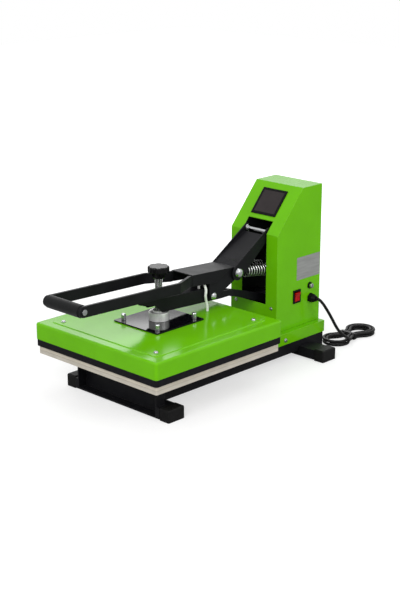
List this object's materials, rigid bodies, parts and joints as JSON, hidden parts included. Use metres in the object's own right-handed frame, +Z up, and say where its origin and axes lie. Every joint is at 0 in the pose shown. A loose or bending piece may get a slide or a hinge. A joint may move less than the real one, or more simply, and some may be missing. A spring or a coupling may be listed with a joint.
{
  "type": "clamshell heat press",
  "caption": "Swing-arm heat press with a square heated platen, forked hand lever, toggle link, sprung column and pressure knob.",
  "frame": {"origin": "middle of the press's footprint, on the floor it stands on, without its cord", "axes": "+X to the operator's right as seen from the front, +Y from the handle towards the column, +Z up"},
  "size_m": [0.4, 0.9751, 0.4239],
  "materials": {
    "lime_paint": "gloss lime powder coat",
    "black_paint": "semi-gloss black powder coat",
    "gloss_black": "high-gloss black enamel",
    "bare_steel": "plain steel",
    "chrome": "bright plated",
    "alloy": "machined aluminium",
    "coated_platen": "dark non-stick coat on cast aluminium",
    "silicone": "matte silicone sponge, pale beige",
    "rubber": "matte black rubber",
    "plastic": "black moulded plastic",
    "red_plastic": "translucent red rocker",
    "screen": "dark unlit display window",
    "board": "green circuit board",
    "felt": "mineral fibre blanket",
    "sleeve": "white heat-resistant cable sleeve"
  },
  "bodies": {
    "base": {"foot_cap_front_left": "rubber", "foot_cap_front_right": "rubber", "foot_cap_rear_left": "rubber", "foot_cap_rear_right": "rubber", "front_cross_channel": "black_paint", "rear_cross_tube": "black_paint", "base_rail_left": "black_paint", "base_rail_right": "black_paint", "platen_support": "black_paint", "frame_floor_plate": "black_paint", "lower_platen": "alloy", "silicone_pad": "silicone", "column_shell": "lime_paint", "column_back_panel": "lime_paint", "column_skirt": "lime_paint", "side_plate_left": "black_paint", "side_plate_right": "black_paint", "arm_pivot_shaft": "bare_steel", "spring_anchor_bar": "black_paint", "screen_bezel": "plastic", "screen_glass": "screen", "controller_board": "board", "rocker_housing": "plastic", "fuse_holder": "bare_steel", "cable_gland": "plastic", "cord_run": "rubber", "cord_hank": "rubber", "cord_tail": "rubber", "mains_plug": "rubber"},
    "arm": {"pressure_arm": "black_paint", "lever_pivot_bolt": "chrome"},
    "upper_platen": {"heating_platen": "coated_platen", "insulation_blanket": "felt", "top_cover": "lime_paint", "hub_plate": "gloss_black", "spacer_bolt_1": "bare_steel", "spacer_bolt_2": "bare_steel", "spacer_bolt_3": "bare_steel", "spacer_bolt_4": "bare_steel", "platen_hub": "alloy", "heater_cable": "sleeve"},
    "screw": {"pressure_screw": "bare_steel", "pressure_knob": "plastic"},
    "lever": {"lever_bracket": "black_paint", "lever_cheek_left": "black_paint", "lever_cheek_right": "black_paint", "handle_bar_left": "black_paint", "handle_bar_right": "black_paint", "handle_grip": "rubber", "grip_bolt": "bare_steel", "link_bolt_left": "chrome", "link_bolt_right": "chrome"},
    "link": {"toggle_link": "black_paint", "top_pivot_pin": "chrome"},
    "rod_left": {"spring_rod_left": "bare_steel", "spring_left": "chrome"},
    "rod_right": {"spring_rod_right": "bare_steel", "spring_right": "chrome"},
    "rocker": {"rocker_paddle": "red_plastic"},
    "fuse_plug": {"fuse_cap": "plastic"}
  },
  "joints": [
    {"name": "arm_hinge", "type": "hinge", "parent": "base", "child": "arm", "pos_m": [0, 0.2859, 0.1405], "axis": [-1, 0, 0], "range_deg": [0, 15.3], "deforming": ["spring_left", "spring_right"]},
    {"name": "lever_hinge", "type": "hinge", "parent": "arm", "child": "lever", "pos_m": [0, 0.0479, 0.1995], "axis": [-1, 0, 0], "range_deg": [0, 41.6]},
    {"name": "link_hinge", "type": "hinge", "parent": "lever", "child": "link", "pos_m": [0, 0.1289, 0.241], "axis": [1, 0, 0], "range_deg": [0, 70.48]},
    {"name": "rod_left_hinge", "type": "hinge", "parent": "lever", "child": "rod_left", "pos_m": [-0.0223, 0.1289, 0.241], "axis": [1, 0, 0], "range_deg": [0, 65.7]},
    {"name": "rod_right_hinge", "type": "hinge", "parent": "lever", "child": "rod_right", "pos_m": [0.0223, 0.1289, 0.241], "axis": [1, 0, 0], "range_deg": [0, 65.7]},
    {"name": "platen_lift", "type": "slide", "parent": "arm", "child": "upper_platen", "axis": [0, 0, 1], "range_m": [0, 0.004]},
    {"name": "screw_turn", "type": "hinge", "parent": "upper_platen", "child": "screw", "pos_m": [0, -0.1006, 0.24], "axis": [0, 0, 1], "range_deg": [0, 720]},
    {"name": "rocker_tilt", "type": "hinge", "parent": "base", "child": "rocker", "pos_m": [0.07581, 0.3023, 0.1515], "axis": [0, -1, 0], "range_deg": [0, 20]},
    {"name": "fuse_cap_turn", "type": "hinge", "parent": "base", "child": "fuse_plug", "pos_m": [0.08, 0.3524, 0.17], "axis": [1, 0, 0], "range_deg": [-90, 0]}
  ],
  "couplings": [
    {"joint": "lever_hinge", "follows": "arm_hinge", "ratio": 2.7188},
    {"joint": "link_hinge", "follows": "arm_hinge", "ratio": 4.6063},
    {"joint": "rod_left_hinge", "follows": "arm_hinge", "ratio": 4.2938},
    {"joint": "rod_right_hinge", "follows": "arm_hinge", "ratio": 4.2938},
    {"joint": "screw_turn", "follows": "platen_lift", "rad_per_m": 3141.6}
  ]
}
